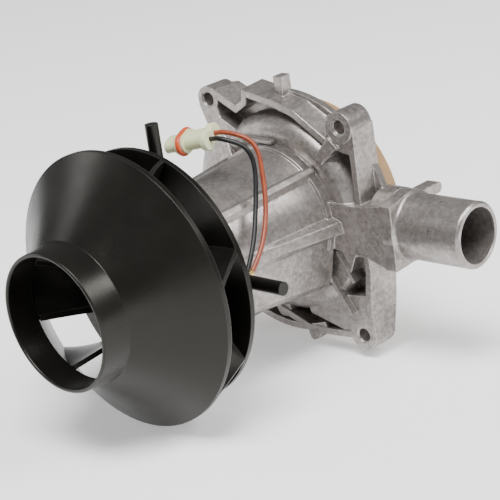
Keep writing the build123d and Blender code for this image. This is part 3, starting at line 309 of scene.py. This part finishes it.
CARBON_DARK, CARBON_LIGHT, CARBON_FLECK = (0.02, 0.02, 0.022), (0.045, 0.045, 0.047), (0.14, 0.10, 0.07)
STEEL_DARK, STEEL_LIGHT = (0.42, 0.42, 0.43), (0.68, 0.68, 0.69)
ZINC_DARK, ZINC_LIGHT = (0.48, 0.49, 0.52), (0.72, 0.73, 0.75)
BRASS_DARK, BRASS_LIGHT = (0.50, 0.34, 0.11), (0.78, 0.58, 0.26)
SHEET_DARK, SHEET_LIGHT = (0.22, 0.22, 0.23), (0.4, 0.4, 0.41)
COPPER_DARK, COPPER_LIGHT = (0.45, 0.16, 0.07), (0.72, 0.32, 0.16)
LEAD_RED_DARK, LEAD_RED_LIGHT = (0.20, 0.032, 0.010), (0.30, 0.060, 0.020)
LEAD_BLACK_DARK, LEAD_BLACK_LIGHT = (0.004, 0.004, 0.004), (0.012, 0.012, 0.012)

SHEET_PITCH, WIRE_PITCH = 0.5 * MM, 0.6 * MM
COARSE_RINGS = (1, 6, 1)

MATERIALS = {
    "black_plastic": black_plastic(),
    "cast_aluminium": cast_aluminium(),
    "brown_moulding": moulding("brown_moulding", BROWN, TAN, RUST_BROWN, roughness=0.58),
    "natural_nylon": moulding("natural_nylon", PALE_GREEN, CREAM, OLIVE, roughness=0.36, see_through=0.15),
    "red_silicone": moulding("red_silicone", BRICK, ORANGE_RED, OXBLOOD, roughness=0.42),
    "seal_rubber": moulding("seal_rubber", RUBBER_DARK, RUBBER_LIGHT, RUBBER_DUST, roughness=0.6),
    "phenolic": moulding("phenolic", RESIN_DARK, RESIN_LIGHT, RESIN_FLECK, roughness=0.45),
    "ferrite": moulding("ferrite", FERRITE_DARK, FERRITE_LIGHT, FERRITE_FLECK, roughness=0.62),
    "carbon": moulding("carbon", CARBON_DARK, CARBON_LIGHT, CARBON_FLECK, roughness=0.5, grain_scale=1600),
    "steel": turned_metal("steel", STEEL_DARK, STEEL_LIGHT, roughness=0.24),
    "zinc_steel": turned_metal("zinc_steel", ZINC_DARK, ZINC_LIGHT, roughness=0.34, stretch=COARSE_RINGS),
    "brass": turned_metal("brass", BRASS_DARK, BRASS_LIGHT, roughness=0.28),
    "lamination_steel": layered(
        "lamination_steel", SHEET_DARK, SHEET_LIGHT, SHEET_PITCH, roughness=0.38, metallic=0.9
    ),
    "copper": layered(
        "copper", COPPER_DARK, COPPER_LIGHT, WIRE_PITCH, roughness=0.30, metallic=0.9, axis="Z"
    ),
    "red_insulation": insulation("red_insulation", LEAD_RED_DARK, LEAD_RED_LIGHT),
    "black_insulation": insulation("black_insulation", LEAD_BLACK_DARK, LEAD_BLACK_LIGHT),
}

for subpart in frame["record"]["subparts"]:
    mesh = bpy.data.objects[subpart["node"]].data
    mesh.materials.clear()
    mesh.materials.append(MATERIALS[subpart["material_slot"]])


# ---- Leads -----------------------------------------------------------------------------------------------

LEAD_R = 0.9 * MM

# The points that steer each lead's curve, in millimetres, from its motor terminal to the rear of the plug
RED_ROUTE = [
    (33.8, -64.3, 0.6),
    (33.2, -59.0, 4.5),
    (31.5, -53.3, 10.1),
    (29.1, -48.3, 17.1),
    (26.6, -44.7, 24.4),
    (24.0, -42.2, 31.7),
    (22.0, -40.7, 37.4),
    (19.2, -40.9, 41.4),
    (15.8, -42.3, 43.3),
    (12.0, -43.6, 44.3),
    (8.45, -44.5, 44.75),
    (5.6, -45.3, 44.2),
]
BLACK_ROUTE = [
    (31.1, -64.3, -0.8),
    (30.2, -59.7, 4.7),
    (28.5, -55.1, 10.9),
    (26.4, -51.0, 17.2),
    (24.4, -47.2, 24.0),
    (22.9, -44.6, 30.6),
    (21.5, -43.6, 35.8),
    (19.7, -44.2, 39.5),
    (17.0, -45.8, 41.7),
    (13.6, -47.5, 42.9),
    (9.85, -48.5, 43.75),
    (7.0, -49.3, 43.2),
]


def lead(name, route, slot):
    """A lead as a round curve steered by its route, standing for the CAD lead of the same place."""
    curve = bpy.data.curves.new(name, "CURVE")
    curve.dimensions = "3D"
    curve.bevel_depth = LEAD_R
    curve.bevel_resolution = 8
    curve.resolution_u = 16
    curve.use_fill_caps = True
    spline = curve.splines.new("NURBS")
    spline.points.add(len(route) - 1)
    for point, place in zip(spline.points, route):
        point.co = (*(Vector(place) * MM), 1)
    spline.order_u = 3
    spline.use_endpoint_u = True
    curve.materials.append(MATERIALS[slot])
    cord = bpy.data.objects.new(name, curve)
    bpy.context.scene.collection.objects.link(cord)
    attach(cord, "root")
    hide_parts(name.removesuffix("_cord"))


lead("lead_red_cord", RED_ROUTE, "red_insulation")
lead("lead_black_cord", BLACK_ROUTE, "black_insulation")


# ---- Stage, lights and camera ----------------------------------------------------------------------------

# The floor's width is in metres, wide enough for its edge to be far off in every view
FLOOR_WIDTH = 60
FLOOR_WHITE, FLOOR_GLOW = (0.94, 0.94, 0.94), 0.40
WHITE = (1, 1, 1)
WORLD_STRENGTH = 0.22

# Each softbox's place, and its width and height, in metres, and its power in watts
SOFTBOXES = {
    "key": ((0.7, -0.9, 2.4), (1.5, 1.1), 120),
    "fill": ((-1.0, -0.6, 0.3), (0.3, 0.8), 3.5),
    "rim": ((0.9, 0.35, 0.9), (0.6, 0.4), 11),
}
LIGHTS_AIM = Vector((0, -0.05, 0))

# The camera's place and aim are in metres, its lens and sensor in millimetres and its roll in degrees
CAMERA_PLACE = Vector((426.5, -444.4, 204.0)) * MM
CAMERA_AIM = Vector((0, -30.7, -7.9)) * MM
LENS, SENSOR_WIDTH = 117.8, 36
ROLL = -8.3


def floor():
    """A pale floor that glows a little, level with the object's lowest point."""
    bpy.ops.mesh.primitive_plane_add(size=FLOOR_WIDTH, location=(0, 0, FLOOR_Z))
    plane = bpy.context.object
    plane.name = "floor"
    s = Shader("pale_floor")
    s.finish(Base_Color=FLOOR_WHITE, Roughness=0.9, Emission_Color=WHITE, Emission_Strength=FLOOR_GLOW)
    plane.data.materials.append(s.material)


def softbox(name, place, size, power):
    """A rectangular light that faces the object."""
    light = bpy.data.lights.new(name, "AREA")
    light.shape = "RECTANGLE"
    light.size, light.size_y = size
    light.energy = power
    lamp = bpy.data.objects.new(name, light)
    lamp.location = place
    lamp.rotation_euler = (LIGHTS_AIM - Vector(place)).to_track_quat("-Z", "Y").to_euler()
    bpy.context.scene.collection.objects.link(lamp)


def camera():
    """On the impeller's side, to the right of and above the motor axis, tipped a little clockwise."""
    view = bpy.data.cameras.new("camera")
    view.lens = LENS
    view.sensor_width = SENSOR_WIDTH
    seat = bpy.data.objects.new("camera", view)
    turned = (CAMERA_AIM - CAMERA_PLACE).to_track_quat("-Z", "Y").to_matrix().to_4x4()
    seat.matrix_world = Matrix.Translation(CAMERA_PLACE) @ turned @ Matrix.Rotation(radians(ROLL), 4, "Z")
    bpy.context.scene.collection.objects.link(seat)
    bpy.context.scene.camera = seat


def surroundings():
    """An even, dim white light from all around."""
    world = bpy.data.worlds.new("studio")
    world.use_nodes = True
    background = world.node_tree.nodes["Background"]
    background.inputs["Color"].default_value = opaque(WHITE)
    background.inputs["Strength"].default_value = WORLD_STRENGTH
    bpy.context.scene.world = world


surroundings()
floor()
for name, (place, size, power) in SOFTBOXES.items():
    softbox(name, place, size, power)
camera()
